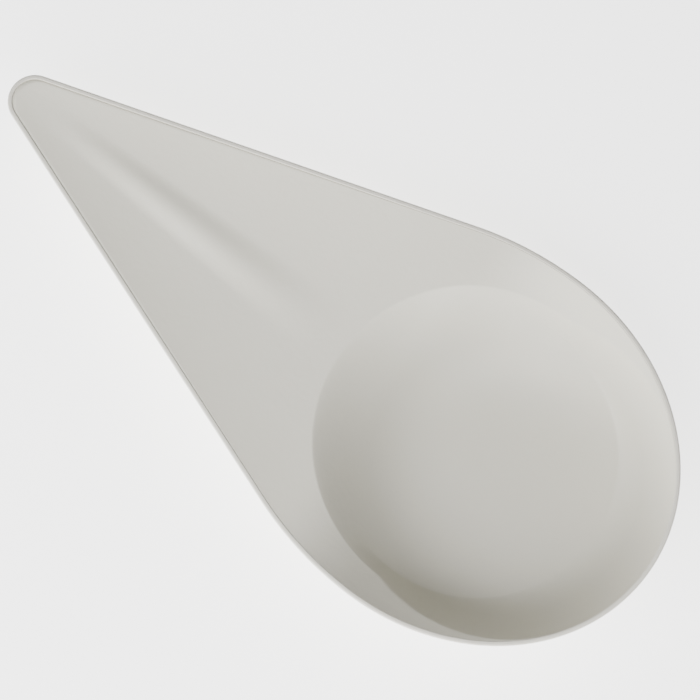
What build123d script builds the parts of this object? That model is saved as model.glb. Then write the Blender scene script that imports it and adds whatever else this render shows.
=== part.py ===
from build123d import *
import math
import os

# A teardrop-shaped bedpan, all sizes in millimetres.
# The origin is the centre of the pad that the pan stands on, +Z is up,
# and +X runs from the narrow grip tip towards the round bowl end.

# ---- driving dimensions: plan of the rim ----
WIDTH = 242.2  # across the widest part of the bowl
BOWL_X = -12.2  # where the pan is widest
END_REACH = 141.3  # from the widest part to the bowl end
SIDE_RADIUS = 230.5  # of the arcs that lead from the bowl to the straight neck
TIP_RADIUS = 17.0
TIP_X = -353.9  # centre of the rounded tip

# ---- driving dimensions: heights and thicknesses ----
HEIGHT = 56.0  # bottom of the foot to the top of the rim
WALL = 3.0
FOOT_RISE = 1.5  # how far the foot stands below the floor
FOOT_RADIUS = 80.0  # outside of the foot ring
FOOT_WIDTH = 3.0  # thickness of the foot ring
PAD_RADIUS = 30.0  # round pad inside the ring, level with its bottom
PAD_SINK = 2.1  # how far the pad's body reaches up into the floor
FOOT_ROUND = 0.7
RIM_WIDTH = 3.0
RIM_DEPTH = 5.0
RIM_PROUD = 0.5  # rim top above the edge of the dish
RIM_OUTER_ROUND = 1.3
RIM_INNER_ROUND = 0.5
TONGUE_REACH = 1.4  # flange of the shell that seats in the rim's groove
TONGUE_THICK = 1.6
TONGUE_DROP = 0.7  # top of the tongue below the edge of the dish

# ---- driving dimensions: inside of the dish ----
FLOOR_RADIUS = 91.0  # where the floor turns up into the wall, away from the neck
BASIN_START = 14.0  # where it starts to curve up towards the neck
SIDE_LIP = 100.0  # from the floor centre to the well's lip, beside the well
NECK_LIP = 105.0  # and on the neck side
DISH_RATIO = 0.10  # depth of the neck's hollow over its half width
FLARE = 39.0  # how much more steeply the shelf falls to the well beside it
FLARE_START = -75.0
RIDGE_START = -345.0  # stiffening ridge along the middle of the neck
RIDGE_END = -110.0
RIDGE_HEIGHT = 2.2

# ---- how the shell is built up from cross-sections ----
SECTION_SPANS = 80
SIDE_MARGIN = 5.0  # the sections reach this far past the dish's edge
END_MARGIN = 2.0

HALF_WIDTH = WIDTH / 2
FLOOR_TOP = FOOT_RISE + WALL
EDGE_Z = HEIGHT - RIM_PROUD  # level edge of the dish, where the rim bead starts


def neck_angle():
    """Half angle of the straight neck, tangent to the tip and to the side arcs."""
    low, high = math.radians(5), math.radians(40)
    for _ in range(60):
        middle = (low + high) / 2
        tip_side = TIP_RADIUS - math.sin(middle) * TIP_X
        arc_side = SIDE_RADIUS - math.sin(middle) * BOWL_X
        arc_side += math.cos(middle) * (HALF_WIDTH - SIDE_RADIUS)
        if tip_side < arc_side:
            low = middle
        else:
            high = middle
    return low


NECK = neck_angle()


def outline(inset):
    """Closed teardrop sketch face, drawn inset from the rim's outer edge."""
    tip = TIP_RADIUS - inset
    arc = SIDE_RADIUS - inset
    arc_y = HALF_WIDTH - SIDE_RADIUS
    half = HALF_WIDTH - inset
    tip_end = (TIP_X - tip, 0)
    tip_side = (TIP_X - tip * math.sin(NECK), tip * math.cos(NECK))
    arc_start = (BOWL_X - arc * math.sin(NECK), arc_y + arc * math.cos(NECK))
    arc_mid = (BOWL_X - arc * math.sin(NECK / 2), arc_y + arc * math.cos(NECK / 2))
    turn = math.radians(180) - (math.radians(90) - NECK) / 2
    tip_mid = (TIP_X + tip * math.cos(turn), tip * math.sin(turn))
    with BuildSketch() as teardrop:
        with BuildLine():
            ThreePointArc(tip_end, tip_mid, tip_side)
            Line(tip_side, arc_start)
            ThreePointArc(arc_start, arc_mid, (BOWL_X, half))
            EllipticalCenterArc((BOWL_X, 0), END_REACH - inset, half, 0, arc_size=90)
            mirror(about=Plane.XZ)
        make_face()
    return teardrop.sketch


def width_squared(x, inset):
    """Square of the outline's half width at x, which runs on below zero past both ends."""
    tip = TIP_RADIUS - inset
    arc = SIDE_RADIUS - inset
    if x < TIP_X - tip * math.sin(NECK):
        return tip**2 - (x - TIP_X) ** 2
    if x < BOWL_X - arc * math.sin(NECK):
        return (tip / math.cos(NECK) + math.tan(NECK) * (x - TIP_X)) ** 2
    if x < BOWL_X:
        across = math.sqrt(arc**2 - (x - BOWL_X) ** 2)
        return (HALF_WIDTH - SIDE_RADIUS + across) ** 2
    reach = (x - BOWL_X) / (END_REACH - inset)
    return (HALF_WIDTH - inset) ** 2 * (1 - reach**2)


def ease(step):
    """Smooth run from 0 to 1, level at both ends."""
    step = min(max(step, 0.0), 1.0)
    return step**2 * (3 - 2 * step)


def shelf_height(x, y):
    """The shallow dish that spans the whole teardrop and ends level at its edge."""
    tip = TIP_RADIUS - RIM_WIDTH
    widest = (HALF_WIDTH - RIM_WIDTH) ** 2
    edge = width_squared(x, RIM_WIDTH)
    neck_half = tip / math.cos(NECK) + math.tan(NECK) * max(x - TIP_X, -tip)
    span = edge if TIP_X < x < BOWL_X else min(neck_half**2, widest)
    depth = DISH_RATIO * math.sqrt(span) + FLARE * ease(1 - x / FLARE_START)
    hollow = depth * (edge - y**2) / (span + tip**2)
    along = (x - RIDGE_START) / (RIDGE_END - RIDGE_START)
    ridge = 0.0
    if 0 < along < 1:
        ridge_half = 5.5 + 0.17 * math.sqrt(span)
        if abs(y) < ridge_half:
            across = math.cos(math.pi / 2 * y / ridge_half) ** 2
            ridge = RIDGE_HEIGHT * math.sin(math.pi * along) ** 1.5 * across
    return EDGE_Z - hollow + ridge


def dish_height(x, y):
    """Height of the dish's upper surface: the shelf, cut by the well with its flat floor."""
    shelf = shelf_height(x, y)
    radius = max(math.hypot(x, y), 0.001)
    cos = x / radius
    to_end, to_neck = max(cos, 0.0), max(-cos, 0.0)
    end_lip = BOWL_X + END_REACH - RIM_WIDTH
    lip = SIDE_LIP + (NECK_LIP - SIDE_LIP) * to_neck**1.6
    lip += (end_lip - SIDE_LIP) * to_end
    # a wall round a flat floor: it turns up sharply beside it, softly at the bowl end
    u = max((radius - FLOOR_RADIUS) / (lip - FLOOR_RADIUS), 0.0)
    start = 1.15 + 0.65 * to_end**2
    finish = 1.35 - 0.30 * to_end**2
    wall = 1 - (1 - min(u, 1.0) ** start) ** finish
    # a rounded basin that climbs to the lip on the neck side
    v = min(max((radius - BASIN_START) / (lip - BASIN_START), 0.0), 1.0)
    basin = 1 - (1 - v**2.1) ** 1.25
    share = ease((0.8 - cos) / 1.15)
    rise = share * basin + (1 - share) * wall + 1.3 * to_end**12 * max(u - 1.0, 0.0)
    return FLOOR_TOP + (shelf - FLOOR_TOP) * rise


def shell_underside(x, y):
    """Height of the dish's lower surface, which keeps one wall thickness from the upper."""
    step = 0.25
    slope_x = (dish_height(x + step, y) - dish_height(x - step, y)) / (2 * step)
    slope_y = (dish_height(x, y + step) - dish_height(x, y - step)) / (2 * step)
    slope = max(math.hypot(slope_x, slope_y), 0.000001)
    lowest = HEIGHT
    # a ball of one wall thickness, centred on the lower surface, just touches the upper
    for turn in range(0, 81, 10):
        away = WALL * math.sin(math.radians(turn)) / slope
        above = dish_height(x - away * slope_x, y - away * slope_y)
        lowest = min(lowest, above - WALL * math.cos(math.radians(turn)))
    return lowest


def section_stations(start, finish):
    """Places along X for cross-sections, closer together where the dish bends."""
    stations = []
    x = start
    while x < finish - 2:
        stations.append(x)
        x += 3.0 if x < TIP_X + 20 else 8.0 if x < -NECK_LIP - 20 else 3.0
    return stations + [finish]


def section(x, half, upper_height, lower_height):
    """Closed cross-section face at x, between two curves that reach half to each side."""
    steps = [j / SECTION_SPANS for j in range(SECTION_SPANS + 1)]
    across = [half * (2 * step - 1) for step in steps]
    upper = [(y, upper_height(x, y)) for y in across]
    lower = [(y, lower_height(x, y)) for y in across]
    with BuildSketch(Plane.YZ.offset(x)) as face:
        with BuildLine():
            add(Edge.make_spline(upper, parameters=steps))
            Line(upper[-1], lower[-1])
            add(Edge.make_spline(lower, parameters=steps))
            Line(lower[0], upper[0])
        make_face()
    return face.sketch


os.makedirs("parts", exist_ok=True)

# ---- foot ring: its top is trimmed to follow the middle of the shell's wall ----
with BuildPart() as foot_ring:
    reach = FOOT_RADIUS + 4
    for x in section_stations(-reach, reach):
        add(section(x, reach, lambda x, y: shell_underside(x, y) + WALL / 2, lambda x, y: -1.0))
    loft()
    with BuildSketch():
        Circle(FOOT_RADIUS)
        Circle(FOOT_RADIUS - FOOT_WIDTH, mode=Mode.SUBTRACT)
    extrude(amount=HEIGHT, mode=Mode.INTERSECT)
    fillet(foot_ring.faces().sort_by(Axis.Z)[0].edges(), FOOT_ROUND)

# ---- pan shell: one moulding with the well, the dished neck, its ridge and the foot ----
with BuildPart() as pan_shell:
    shell_start = TIP_X - TIP_RADIUS + RIM_WIDTH - END_MARGIN
    shell_finish = BOWL_X + END_REACH - RIM_WIDTH + END_MARGIN
    for x in section_stations(shell_start, shell_finish):
        half = math.sqrt(width_squared(x, RIM_WIDTH - SIDE_MARGIN))
        add(section(x, half, dish_height, shell_underside))
    loft()
    # trimmed to the dish's outline
    with BuildSketch():
        add(outline(RIM_WIDTH))
    extrude(amount=2 * HEIGHT, mode=Mode.INTERSECT)
    add(foot_ring.part)
    # round pad under the flat of the floor
    with BuildSketch():
        Circle(PAD_RADIUS)
    extrude(amount=FOOT_RISE + PAD_SINK)
    bottom = pan_shell.faces().filter_by(Axis.Z).group_by(Axis.Z)[0]
    pad_face = min(bottom, key=lambda face: face.bounding_box().size.X)
    fillet(pad_face.edges(), FOOT_ROUND)
    # tongue all round the edge, which the rim bead holds
    with BuildSketch(Plane.XY.offset(EDGE_Z - TONGUE_DROP - TONGUE_THICK)):
        add(outline(RIM_WIDTH - TONGUE_REACH))
        add(outline(RIM_WIDTH), mode=Mode.SUBTRACT)
    extrude(amount=TONGUE_THICK)
pan_shell.part.label = "pan_shell"
export_step(pan_shell.part, "parts/pan_shell.step")

# ---- rim bead: a rounded band all round, grooved for the shell's tongue ----
with BuildPart() as rim_bead:
    with BuildSketch(Plane.XY.offset(HEIGHT - RIM_DEPTH)):
        add(outline(0))
        add(outline(RIM_WIDTH), mode=Mode.SUBTRACT)
    extrude(amount=RIM_DEPTH)
    levels = rim_bead.faces().filter_by(Axis.Z).sort_by(Axis.Z)
    outer_edges = [max(level.wires(), key=lambda wire: wire.length) for level in levels]
    fillet([edge for wire in outer_edges for edge in wire.edges()], RIM_OUTER_ROUND)
    top_face = rim_bead.faces().filter_by(Axis.Z).sort_by(Axis.Z)[-1]
    inner_top = min(top_face.wires(), key=lambda wire: wire.length)
    fillet(inner_top.edges(), RIM_INNER_ROUND)
    with BuildSketch(Plane.XY.offset(EDGE_Z - TONGUE_DROP - TONGUE_THICK)):
        add(outline(RIM_WIDTH - TONGUE_REACH))
        add(outline(RIM_WIDTH), mode=Mode.SUBTRACT)
    extrude(amount=TONGUE_THICK, mode=Mode.SUBTRACT)
rim_bead.part.label = "rim_bead"
export_step(rim_bead.part, "parts/rim_bead.step")
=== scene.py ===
"""Teardrop-shaped bedpan: a thin moulded shell with a round well, and a rounded rim bead.

Everything is in metres, in the model's frame: the origin is under the middle of the well,
+Z is up, and +X runs from the grip tip towards the bowl end.
"""

import math

import bmesh
import bpy
import numpy as np
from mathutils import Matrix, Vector


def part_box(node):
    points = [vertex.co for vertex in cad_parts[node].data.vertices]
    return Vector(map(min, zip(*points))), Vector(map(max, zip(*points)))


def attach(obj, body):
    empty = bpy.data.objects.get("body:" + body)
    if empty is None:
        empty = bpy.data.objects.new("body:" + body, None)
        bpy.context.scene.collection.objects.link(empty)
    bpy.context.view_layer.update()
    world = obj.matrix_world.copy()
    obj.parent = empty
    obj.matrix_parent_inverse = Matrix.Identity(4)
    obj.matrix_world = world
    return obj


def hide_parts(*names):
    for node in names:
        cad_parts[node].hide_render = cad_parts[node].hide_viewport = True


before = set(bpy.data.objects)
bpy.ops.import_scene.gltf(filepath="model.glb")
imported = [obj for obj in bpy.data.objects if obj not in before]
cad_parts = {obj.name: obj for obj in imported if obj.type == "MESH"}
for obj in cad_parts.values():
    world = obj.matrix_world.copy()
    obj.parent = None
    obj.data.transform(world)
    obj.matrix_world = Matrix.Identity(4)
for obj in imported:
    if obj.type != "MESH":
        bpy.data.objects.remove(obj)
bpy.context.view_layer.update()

MM = 0.001

# ---- places taken from the frame ----
SHELL_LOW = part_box("pan_shell")[0]
RIM_LOW, RIM_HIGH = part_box("rim_bead")
HALF_WIDTH = RIM_HIGH[1]
RIM_TOP = RIM_HIGH[2]
RIM_BOTTOM = RIM_LOW[2]
FOOT_Z = SHELL_LOW[2]

# ---- plan of the rim ----
BOWL_X = -12.2 * MM  # where the pan is widest
END_REACH = RIM_HIGH[0] - BOWL_X
SIDE_RADIUS = 230.5 * MM
TIP_RADIUS = 17.0 * MM
TIP_X = RIM_LOW[0] + TIP_RADIUS

# ---- thicknesses ----
WALL = 3.0 * MM
FOOT_RISE = 1.5 * MM
FOOT_RADIUS = 80.0 * MM
FOOT_WIDTH = 3.0 * MM
PAD_RADIUS = 30.0 * MM
PAD_SINK = 2.1 * MM
FOOT_ROUND = 0.7 * MM
RIM_WIDTH = 3.0 * MM
RIM_PROUD = 0.5 * MM
RIM_OUTER_ROUND = 1.3 * MM
RIM_INNER_ROUND = 0.5 * MM
EDGE_Z = RIM_TOP - RIM_PROUD
FLOOR_TOP = FOOT_Z + FOOT_RISE + WALL

# ---- pad's feed mark: radii and depths, in mm, of the rings that shape it ----
FEED_MARK = ((5.2, 0.0), (5.0, 0.1), (4.8, 0.5), (4.4, 0.6))

# ---- inside of the dish ----
FLOOR_RADIUS = 91.0 * MM
BASIN_START = 14.0 * MM  # the neck half of the well curves up from here
SIDE_LIP = 100.0 * MM  # from the floor centre to the lip beside the well
NECK_LIP = 105.0 * MM  # and on the neck side
DISH_RATIO = 0.10
FLARE = 39.0 * MM  # how much more the shelf falls beside the well
FLARE_START = -75.0 * MM
RIDGE_START = -345.0 * MM
RIDGE_END = -110.0 * MM
RIDGE_HEIGHT = 2.2 * MM

# ---- how finely the pieces are meshed ----
OUTLINE_STEP = 3.0 * MM
FLOOR_LOOPS = 44
WALL_LOOPS = 88
EDGE_BAND = 60.0 * MM  # the wall's loops are evenly spaced when they span up to this much
SEAM_WIDTH = 0.3 * MM  # of the fine line between the shell and the bead
SEAM_DEPTH = 0.25 * MM
BEAD_GAP = 0.1 * MM  # how far the bead's inner face stands back above the seam
BEAD_SEAT = 0.6 * MM  # how far below the shell's edge it starts to stand back
PAD_FLAT = (26, 8, 7)  # first and last radius, in mm, and number of the pad's flat loops


# ------------------------------------------------------------------ outline
def neck_angle():
    """Half angle of the straight neck, tangent to the tip and to the side arcs."""
    low, high = math.radians(5), math.radians(40)
    for _ in range(60):
        middle = (low + high) / 2
        tip_side = TIP_RADIUS - math.sin(middle) * TIP_X
        arc_side = SIDE_RADIUS - math.sin(middle) * BOWL_X
        arc_side += math.cos(middle) * (HALF_WIDTH - SIDE_RADIUS)
        low, high = (middle, high) if tip_side < arc_side else (low, middle)
    return low


NECK = neck_angle()


def half_outline(inset):
    """Points of the teardrop's +Y half, from the tip to the bowl end, inset from the rim."""
    tip, arc = TIP_RADIUS - inset, SIDE_RADIUS - inset
    end, half = END_REACH - inset, HALF_WIDTH - inset
    arc_y = HALF_WIDTH - SIDE_RADIUS
    quarter = math.pi / 2

    def stretch(first, last, length):
        return np.linspace(first, last, max(4, round(length / OUTLINE_STEP)) + 1)[:-1]

    turn = stretch(math.pi, quarter + NECK, TIP_RADIUS * (quarter - NECK) * 2.5)
    rounded = np.c_[TIP_X + tip * np.cos(turn), tip * np.sin(turn)]
    start = np.array([TIP_X - tip * math.sin(NECK), tip * math.cos(NECK)])
    stop = np.array([BOWL_X - arc * math.sin(NECK), arc_y + arc * math.cos(NECK)])
    along = stretch(0.0, 1.0, BOWL_X - TIP_X - SIDE_RADIUS * math.sin(NECK))
    straight = start + (stop - start) * along[:, None]
    turn = stretch(quarter + NECK, quarter, SIDE_RADIUS * NECK)
    side = np.c_[BOWL_X + arc * np.cos(turn), arc_y + arc * np.sin(turn)]
    turn = stretch(quarter, 0.0, END_REACH * quarter)
    bowl = np.c_[BOWL_X + end * np.cos(turn), half * np.sin(turn)]
    return np.vstack([rounded, straight, side, bowl, [[BOWL_X + end, 0.0]]])


def outline(inset):
    """The closed teardrop, the same number of points at every inset, clockwise from above."""
    upper = half_outline(inset)
    return np.vstack([upper, (upper * [1, -1])[-2:0:-1]])


# ------------------------------------------------------------ dish surface
def width_squared(x, inset):
    """Square of the outline's half width at x, running on below zero past both ends."""
    tip, arc = TIP_RADIUS - inset, SIDE_RADIUS - inset
    at_tip = tip**2 - (x - TIP_X) ** 2
    at_neck = (tip / math.cos(NECK) + math.tan(NECK) * (x - TIP_X)) ** 2
    across = np.sqrt(np.maximum(arc**2 - (x - BOWL_X) ** 2, 0.0))
    at_side = (HALF_WIDTH - SIDE_RADIUS + across) ** 2
    reach = (x - BOWL_X) / (END_REACH - inset)
    at_end = (HALF_WIDTH - inset) ** 2 * (1 - reach**2)
    low = np.where(x < TIP_X - tip * math.sin(NECK), at_tip, at_neck)
    high = np.where(x < BOWL_X, at_side, at_end)
    return np.where(x < BOWL_X - arc * math.sin(NECK), low, high)


def ease(step):
    """Smooth run from 0 to 1, level at both ends."""
    step = np.clip(step, 0.0, 1.0)
    return step**2 * (3 - 2 * step)


def shelf_height(x, y):
    """The shallow dish that spans the whole teardrop, with the ridge along its neck."""
    tip = TIP_RADIUS - RIM_WIDTH
    edge = width_squared(x, RIM_WIDTH)
    neck_half = tip / math.cos(NECK) + math.tan(NECK) * np.maximum(x - TIP_X, -tip)
    capped = np.minimum(neck_half**2, (HALF_WIDTH - RIM_WIDTH) ** 2)
    span = np.where((x > TIP_X) & (x < BOWL_X), edge, capped)
    depth = DISH_RATIO * np.sqrt(span) + FLARE * ease(1 - x / FLARE_START)
    hollow = depth * (edge - y**2) / (span + tip**2)
    along = np.clip((x - RIDGE_START) / (RIDGE_END - RIDGE_START), 0, 1)
    ridge_half = 5.5 * MM + 0.17 * np.sqrt(span)
    across = np.cos(np.clip(math.pi / 2 * y / ridge_half, -math.pi / 2, math.pi / 2)) ** 2
    return EDGE_Z - hollow + RIDGE_HEIGHT * np.sin(math.pi * along) ** 1.5 * across


def dish_height(x, y):
    """Height of the dish's upper surface: the shelf, cut by the well with its flat floor."""
    radius = np.maximum(np.hypot(x, y), 1e-6)
    cos, sin = x / radius, y / radius
    to_end, to_neck = np.maximum(cos, 0.0), np.maximum(-cos, 0.0)
    end_lip = BOWL_X + END_REACH - RIM_WIDTH
    lip = SIDE_LIP + (NECK_LIP - SIDE_LIP) * to_neck**1.6
    lip = lip + (end_lip - SIDE_LIP) * to_end
    # a flat floor with a wall that turns up sharply beside it and softly at the bowl end
    u = np.maximum((radius - FLOOR_RADIUS) / (lip - FLOOR_RADIUS), 0.0)
    start = 1.15 + 0.65 * to_end**2
    finish = 1.35 - 0.30 * to_end**2
    wall = 1 - (1 - np.minimum(u, 1.0) ** start) ** finish
    # a rounded basin that climbs to the lip on the neck side
    v = np.clip((radius - BASIN_START) / (lip - BASIN_START), 0.0, 1.0)
    basin = 1 - (1 - v**2.1) ** 1.25
    share = ease((0.8 - cos) / 1.15)
    rise = share * basin + (1 - share) * wall
    rise = rise + 1.3 * to_end**12 * np.maximum(u - 1.0, 0.0)
    return FLOOR_TOP + (shelf_height(x, y) - FLOOR_TOP) * rise


def underside_height(x, y):
    """Height of the dish's lower surface, which keeps one wall thickness from the upper."""
    step = 0.25 * MM
    slope_x = (dish_height(x + step, y) - dish_height(x - step, y)) / (2 * step)
    slope_y = (dish_height(x, y + step) - dish_height(x, y - step)) / (2 * step)
    slope = np.maximum(np.hypot(slope_x, slope_y), 1e-6)
    lowest = np.full_like(slope, RIM_TOP)
    # a ball of one wall thickness, centred on the lower surface, just touches the upper
    for turn in np.radians(np.arange(0, 81, 10)):
        away = WALL * math.sin(turn) / slope
        above = dish_height(x - away * slope_x, y - away * slope_y)
        lowest = np.minimum(lowest, above - WALL * math.cos(turn))
    return lowest


# ------------------------------------------------------------- mesh helpers
def loop_mesh(name, loops, first_point=None, last_point=None, ring=False):
    """A smooth mesh of quads between matching closed loops.

    first_point and last_point close the ends with fans; ring joins the last loop to the first.
    """
    count = len(loops[0])
    verts = np.vstack(loops)
    faces = []
    rows = len(loops)
    for row in range(rows if ring else rows - 1):
        a, b = row * count, (row + 1) % rows * count
        for k in range(count):
            n = (k + 1) % count
            faces.append((a + k, a + n, b + n, b + k))
    if first_point is not None:
        verts = np.vstack([verts, first_point])
        tip = len(verts) - 1
        faces += [(tip, (k + 1) % count, k) for k in range(count)]
    if last_point is not None:
        verts = np.vstack([verts, last_point])
        tip, a = len(verts) - 1, (rows - 1) * count
        faces += [(tip, a + k, a + (k + 1) % count) for k in range(count)]
    mesh = bpy.data.meshes.new(name)
    mesh.from_pydata(verts.tolist(), [], faces)
    mesh.validate()
    mesh.shade_smooth()
    piece = bpy.data.objects.new(name, mesh)
    bpy.context.scene.collection.objects.link(piece)
    return piece


def face_outwards(piece):
    """Turns every face of a closed piece to look outwards."""
    work = bmesh.new()
    work.from_mesh(piece.data)
    bmesh.ops.recalc_face_normals(work, faces=work.faces)
    work.to_mesh(piece.data)
    work.free()


def join_pieces(pieces):
    """One piece, the first, that holds the meshes of all of them, facing outwards."""
    work = bmesh.new()
    for piece in pieces:
        face_outwards(piece)
        work.from_mesh(piece.data)
    work.to_mesh(pieces[0].data)
    work.free()
    for piece in pieces[1:]:
        mesh = piece.data
        bpy.data.objects.remove(piece)
        bpy.data.meshes.remove(mesh)
    return pieces[0]


def rounding(radius, steps=5):
    """Steps in and up round a convex corner, from its side to its end face."""
    turns = np.linspace(0, math.pi / 2, steps)
    return [(radius * (1 - math.cos(t)), radius * (1 - math.sin(t))) for t in turns]


def lift(points, height):
    """Plan points at a height, which is a number or a function of x and y."""
    z = height(points[:, 0], points[:, 1]) if callable(height) else height
    return np.c_[points, np.broadcast_to(z, len(points))]


# ------------------------------------------------------------------- pieces
def make_shell():
    """The moulded shell: floor, wall, dished neck and ridge above; foot and skin below."""
    edge = outline(RIM_WIDTH)
    reach = np.hypot(edge[:, 0], edge[:, 1])
    ray = edge / reach[:, None]
    close_span = np.minimum(reach - FLOOR_RADIUS, EDGE_BAND)
    far_span = reach - FLOOR_RADIUS - close_span

    def wall_loop(s, height):
        radius = FLOOR_RADIUS + close_span * s + far_span * s**3
        return lift(ray * radius[:, None], height)

    def flat_loop(radius, height):
        return lift(ray * radius, height)

    floor = np.linspace(5 * MM, FLOOR_RADIUS, FLOOR_LOOPS)
    walls = np.linspace(0, 1, WALL_LOOPS + 1)[1:]
    loops = [flat_loop(radius, dish_height) for radius in floor]
    loops += [wall_loop(s, dish_height) for s in walls[:-1]]
    # the edge turns down into the seam beside the bead
    loops.append(wall_loop(1 - SEAM_WIDTH / EDGE_BAND, dish_height))
    seam = lift(edge, dish_height)
    seam[:, 2] -= SEAM_DEPTH
    loops.append(seam)
    # the skin underneath, from the edge in to the middle
    loops += [wall_loop(s, underside_height) for s in walls[::-2]]
    loops += [flat_loop(radius, underside_height) for radius in floor[::-2]]
    centre_top = np.array([[0, 0, FLOOR_TOP]])
    centre_under = np.array([[0, 0, FOOT_Z + FOOT_RISE]])
    skin = loop_mesh("shell_moulding", loops, centre_top, centre_under)

    # the foot ring, whose top runs up into the skin
    inner = FOOT_RADIUS - FOOT_WIDTH
    loops = [flat_loop(inner, lambda x, y: underside_height(x, y) + WALL / 2)]
    loops += [flat_loop(inner + back, FOOT_Z + up) for back, up in rounding(FOOT_ROUND)]
    loops += [
        flat_loop(FOOT_RADIUS - back, FOOT_Z + up) for back, up in rounding(FOOT_ROUND)[::-1]
    ]
    loops.append(flat_loop(FOOT_RADIUS, lambda x, y: underside_height(x, y) + WALL / 2))
    ring = loop_mesh("foot_ring", loops, ring=True)

    # the pad inside it, with a shallow round feed mark in its middle
    pad_top = FOOT_Z + FOOT_RISE + PAD_SINK
    loops = [flat_loop(PAD_RADIUS, pad_top)]
    loops += [flat_loop(PAD_RADIUS - back, FOOT_Z + up) for back, up in rounding(FOOT_ROUND)]
    loops += [flat_loop(radius, FOOT_Z) for radius in np.linspace(*PAD_FLAT) * MM]
    loops += [flat_loop(radius * MM, FOOT_Z + depth * MM) for radius, depth in FEED_MARK]
    centre_top = np.array([[0, 0, pad_top]])
    centre_under = np.array([[0, 0, FOOT_Z + FEED_MARK[-1][1] * MM]])
    pad = loop_mesh("pad", loops, centre_top, centre_under)

    shell = join_pieces([skin, ring, pad])
    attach(shell, "root")
    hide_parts("pan_shell")
    return shell


def bead_profile():
    """The bead's section, as inset and height, from the foot of its inner face and round."""
    points = [(RIM_WIDTH, RIM_BOTTOM), (RIM_WIDTH, EDGE_Z - BEAD_SEAT)]

    def corner(inset, z, radius, first, last, steps):
        for turn in np.linspace(first, last, steps):
            points.append((inset + radius * math.cos(turn), z + radius * math.sin(turn)))

    inner, outer = RIM_INNER_ROUND, RIM_OUTER_ROUND
    quarter = math.pi / 2
    corner(RIM_WIDTH - BEAD_GAP - inner, RIM_TOP - inner, inner, 0, quarter, 7)
    corner(outer, RIM_TOP - outer, outer, quarter, 2 * quarter, 11)
    corner(outer, RIM_BOTTOM + outer, outer, 2 * quarter, 3 * quarter, 11)
    points.append(((outer + RIM_WIDTH) / 2, RIM_BOTTOM))
    return points


def make_bead():
    """The rounded band all round the edge."""
    loops = [lift(outline(inset), z) for inset, z in bead_profile()]
    bead = loop_mesh("edge_bead", loops, ring=True)
    face_outwards(bead)
    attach(bead, "root")
    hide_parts("rim_bead")
    return bead


# ---------------------------------------------------------------- materials
def node_of(tree, kind, **values):
    """A new node with the named input sockets set."""
    node = tree.nodes.new(kind)
    for socket, value in values.items():
        node.inputs[socket].default_value = value
    return node


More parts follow.
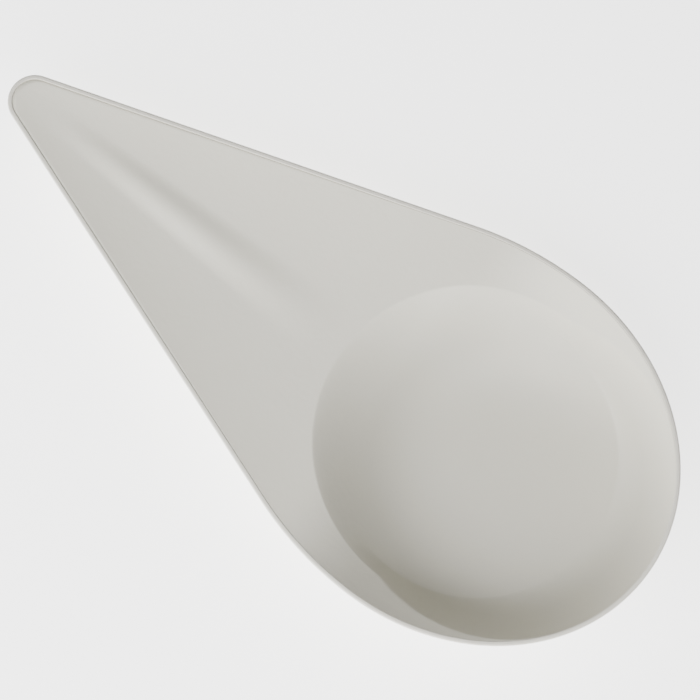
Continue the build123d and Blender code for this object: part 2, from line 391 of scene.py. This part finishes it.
def moulded_plastic(name, light, dark, roughness, grain, painted_well_shade=1.0):
    """Satin moulded plastic: faint mottling, sparse specks, light scuffs and a fine grain.

    Down in the well the colour fades to the light one times the last argument: painted shade,
    standing in for the shade that falls in the well.
    """
    material = bpy.data.materials.new(name)
    material.use_nodes = True
    tree = material.node_tree
    shader = tree.nodes["Principled BSDF"]
    shader.inputs["IOR"].default_value = 1.49
    shader.inputs["Specular IOR Level"].default_value = 0.4
    place = tree.nodes.new("ShaderNodeTexCoord")

    def noise(scale, detail, rough=0.5):
        node = node_of(tree, "ShaderNodeTexNoise", Scale=scale, Detail=detail, Roughness=rough)
        tree.links.new(place.outputs["Object"], node.inputs["Vector"])
        return node

    def span(source, low, high, to_low, to_high):
        node = tree.nodes.new("ShaderNodeMapRange")
        values = (("From Min", low), ("From Max", high), ("To Min", to_low), ("To Max", to_high))
        for socket, value in values:
            node.inputs[socket].default_value = value
        tree.links.new(source, node.inputs["Value"])
        return node.outputs["Result"]

    def combine(operation, first, second):
        node = tree.nodes.new("ShaderNodeMath")
        node.operation = operation
        tree.links.new(first, node.inputs[0])
        tree.links.new(second, node.inputs[1])
        return node.outputs[0]

    def blend(factor, first, second):
        node = tree.nodes.new("ShaderNodeMix")
        node.data_type = "RGBA"
        tree.links.new(factor, node.inputs["Factor"])
        for socket, value in ((node.inputs[6], first), (node.inputs[7], second)):
            if isinstance(value, tuple):
                socket.default_value = value
            else:
                tree.links.new(value, socket)
        return node.outputs[2]

    # colour: broad clouding, finer mottling, painted shade that darkens the well, and a few tiny
    # dark specks
    broad, fine = noise(7.0, 3.0), noise(60.0, 4.0, 0.6)
    clouded = blend(span(broad.outputs["Fac"], 0.35, 0.65, 0.0, 1.0), light, dark)
    mottled = blend(span(fine.outputs["Fac"], 0.3, 0.7, 0.0, 0.35), clouded, dark)
    parts = tree.nodes.new("ShaderNodeSeparateXYZ")
    tree.links.new(place.outputs["Object"], parts.inputs["Vector"])
    # painted shade: lower down, the colour blends towards a darker copy of the light one, for
    # the shade in the well
    painted_shade_mask = span(parts.outputs["Z"], 0.018, 0.050, 1.0, 0.0)
    mottled = blend(painted_shade_mask, mottled, tuple(painted_well_shade * value for value in light[:3]) + (1.0,))
    cells = node_of(tree, "ShaderNodeTexVoronoi", Scale=22.0)
    tree.links.new(place.outputs["Object"], cells.inputs["Vector"])
    near = span(cells.outputs["Distance"], 0.010, 0.020, 1.0, 0.0)
    split = tree.nodes.new("ShaderNodeSeparateColor")
    tree.links.new(cells.outputs["Color"], split.inputs["Color"])
    rare = span(split.outputs[0], 0.955, 0.965, 0.0, 1.0)
    speck = (0.10, 0.07, 0.04, 1.0)
    colour = blend(combine("MULTIPLY", near, rare), mottled, speck)
    tree.links.new(colour, shader.inputs["Base Color"])

    # gloss: fine scuffs along the pan's length, and uneven polish
    squeeze = node_of(tree, "ShaderNodeMapping")
    squeeze.inputs["Scale"].default_value = (0.06, 1.0, 1.0)
    squeeze.inputs["Rotation"].default_value = (0.0, 0.0, 0.5)
    tree.links.new(place.outputs["Object"], squeeze.inputs["Vector"])
    scuff = node_of(tree, "ShaderNodeTexNoise", Scale=900.0, Detail=3.0)
    tree.links.new(squeeze.outputs["Vector"], scuff.inputs["Vector"])
    scuffed = span(scuff.outputs["Fac"], 0.62, 0.75, 0.0, 0.10)
    polish = span(broad.outputs["Fac"], 0.3, 0.7, roughness - 0.04, roughness + 0.05)
    tree.links.new(combine("ADD", scuffed, polish), shader.inputs["Roughness"])

    # relief: the mould's fine grain over a slight orange peel
    peel, pores = noise(240.0, 2.0), noise(1500.0, 3.0, 0.6)
    bump = node_of(tree, "ShaderNodeBump", Strength=grain, Distance=0.0004)
    tree.links.new(peel.outputs["Fac"], bump.inputs["Height"])
    pits = node_of(tree, "ShaderNodeBump", Strength=grain, Distance=0.00012)
    tree.links.new(pores.outputs["Fac"], pits.inputs["Height"])
    tree.links.new(bump.outputs["Normal"], pits.inputs["Normal"])
    tree.links.new(pits.outputs["Normal"], shader.inputs["Normal"])
    return material


def floor_paper():
    """Plain pale studio paper."""
    material = bpy.data.materials.new("floor_paper")
    material.use_nodes = True
    tree = material.node_tree
    shader = tree.nodes["Principled BSDF"]
    shader.inputs["Base Color"].default_value = (0.93, 0.93, 0.93, 1.0)
    shader.inputs["Roughness"].default_value = 0.9
    shader.inputs["Specular IOR Level"].default_value = 0.1
    shader.inputs["Emission Color"].default_value = (1.0, 1.0, 1.0, 1.0)
    shader.inputs["Emission Strength"].default_value = 2.5
    return material


# -------------------------------------------------------------------- stage
def make_floor():
    """A wide flat sheet at the height that the foot stands on."""
    half = 3.0
    mesh = bpy.data.meshes.new("studio_floor")
    corners = [(-half, -half, 0), (half, -half, 0), (half, half, 0), (-half, half, 0)]
    mesh.from_pydata(corners, [], [(0, 1, 2, 3)])
    floor = bpy.data.objects.new("studio_floor", mesh)
    bpy.context.scene.collection.objects.link(floor)
    mesh.materials.append(floor_paper())


def area_light(name, azimuth, elevation, distance, size, power, target):
    """A soft square light; azimuth is counted from +X towards +Y."""
    light = bpy.data.lights.new(name, "AREA")
    light.shape = "SQUARE"
    light.size = size
    light.energy = power
    lamp = bpy.data.objects.new(name, light)
    bpy.context.scene.collection.objects.link(lamp)
    a, e = math.radians(azimuth), math.radians(elevation)
    away = Vector((math.cos(a) * math.cos(e), math.sin(a) * math.cos(e), math.sin(e)))
    lamp.location = target + away * distance
    lamp.rotation_euler = away.to_track_quat("Z", "Y").to_euler()


def make_lights(target):
    """One broad soft light from the pan's -Y side, and a dim even sky."""
    world = bpy.data.worlds.new("studio")
    bpy.context.scene.world = world
    world.use_nodes = True
    sky = world.node_tree.nodes["Background"]
    sky.inputs["Color"].default_value = (1.0, 1.0, 1.0, 1.0)
    sky.inputs["Strength"].default_value = 0.10
    area_light("key", azimuth=-90, elevation=39, distance=1.5, size=2.1, power=87, target=target)


def make_camera(target):
    """Nearly straight above, turned so that the pan lies along the picture's diagonal."""
    turn, elevation, distance = math.radians(38.15), math.radians(83), 1.50
    camera = bpy.data.objects.new("camera", bpy.data.cameras.new("camera"))
    bpy.context.scene.collection.objects.link(camera)
    sensor, frame_width = 36.0, 434.4 * MM
    camera.data.sensor_width = sensor
    camera.data.lens = sensor * distance / frame_width
    forward = Vector((-math.sin(turn), math.cos(turn), 0)) * math.cos(elevation)
    forward.z = -math.sin(elevation)
    camera.location = target - forward * distance
    camera.rotation_euler = (-forward).to_track_quat("Z", "Y").to_euler()
    bpy.context.scene.camera = camera


# ----------------------------------------------------------------- assembly
shell = make_shell()
shell.data.materials.append(
    moulded_plastic(
        "shell_plastic",
        light=(0.79, 0.765, 0.665, 1.0),
        dark=(0.76, 0.735, 0.635, 1.0),
        roughness=0.46,
        grain=0.25,
        # painted shade: down in the well the colour is 0.82 of the light one
        painted_well_shade=0.82,
    )
)
bead = make_bead()
bead.data.materials.append(
    moulded_plastic(
        "rim_plastic",
        light=(0.76, 0.735, 0.655, 1.0),
        dark=(0.73, 0.705, 0.625, 1.0),
        roughness=0.40,
        grain=0.18,
    )
)
make_floor()
make_lights(Vector((BOWL_X, 0.0, 0.0)))
make_camera(Vector((-100.4 * MM, -1.5 * MM, RIM_TOP)))
